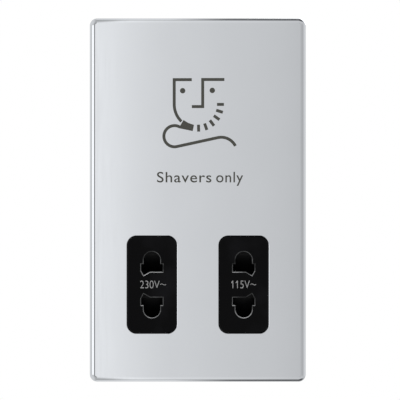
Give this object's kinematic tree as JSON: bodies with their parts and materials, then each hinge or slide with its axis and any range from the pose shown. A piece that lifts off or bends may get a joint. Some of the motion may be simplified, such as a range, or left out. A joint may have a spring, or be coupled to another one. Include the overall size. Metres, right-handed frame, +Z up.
{
  "type": "shaver socket",
  "caption": "Dual-voltage shaver socket: tall metal wall plate with shuttered pin outlets in black inserts, and a stepped rear housing with an isolating transformer.",
  "frame": {"origin": "midway between the fixing holes, in the plane of the wall that the plate closes on", "axes": "+X to the right seen from the front, +Y back into the wall, +Z up; the face looks towards -Y"},
  "size_m": [0.088, 0.046, 0.148],
  "materials": {
    "plate_chrome": "polished",
    "insert_black": "gloss",
    "frame_black": "satin",
    "shutter_black": "satin",
    "spring_steel": "bright",
    "carrier_grey": "satin",
    "contact_brass": "bright",
    "core_steel": "varnished",
    "clamp_zinc": "plated",
    "bobbin_nylon": "satin",
    "winding_primary": "taped",
    "winding_secondary": "taped",
    "cutout_metal": "plain",
    "housing_grey": "satin",
    "block_grey": "satin",
    "earth_bronze": "bright",
    "lead_brown": "pvc",
    "lead_blue": "pvc",
    "lead_green": "pvc",
    "lead_black": "pvc",
    "lead_yellow": "pvc",
    "lead_red": "pvc"
  },
  "bodies": {
    "socket": {"front_plate": "plate_chrome", "mounting_frame": "frame_black", "socket_insert": "insert_black", "shutter_spring_230v": "spring_steel", "shutter_spring_115v": "spring_steel", "contact_carrier": "carrier_grey", "contact_230v": "contact_brass", "contact_115v": "contact_brass", "contact_common": "contact_brass", "core_e_stack": "core_steel", "core_i_stack": "core_steel", "core_clamp": "clamp_zinc", "bobbin": "bobbin_nylon", "primary_winding": "winding_primary", "secondary_winding": "winding_secondary", "thermal_cutout": "cutout_metal", "rear_housing": "housing_grey", "terminal_block": "block_grey", "terminal_live": "contact_brass", "terminal_neutral": "contact_brass", "terminal_earth": "contact_brass", "earth_spring": "earth_bronze", "lead_live": "lead_brown", "lead_neutral": "lead_blue", "lead_earth": "lead_green", "lead_common": "lead_black", "lead_115v": "lead_yellow", "lead_230v": "lead_red"},
    "shutter_230v": {"shutter_230v": "shutter_black"},
    "shutter_115v": {"shutter_115v": "shutter_black"}
  },
  "joints": [
    {"name": "shutter_230v_slide", "type": "slide", "parent": "socket", "child": "shutter_230v", "axis": [0, 0, 1], "range_m": [0, 0.0084], "stiffness_N_per_m": 120, "springref_m": -0.005, "deforming": ["shutter_spring_230v"]},
    {"name": "shutter_115v_slide", "type": "slide", "parent": "socket", "child": "shutter_115v", "axis": [0, 0, 1], "range_m": [0, 0.0084], "stiffness_N_per_m": 120, "springref_m": -0.005, "deforming": ["shutter_spring_115v"]}
  ]
}
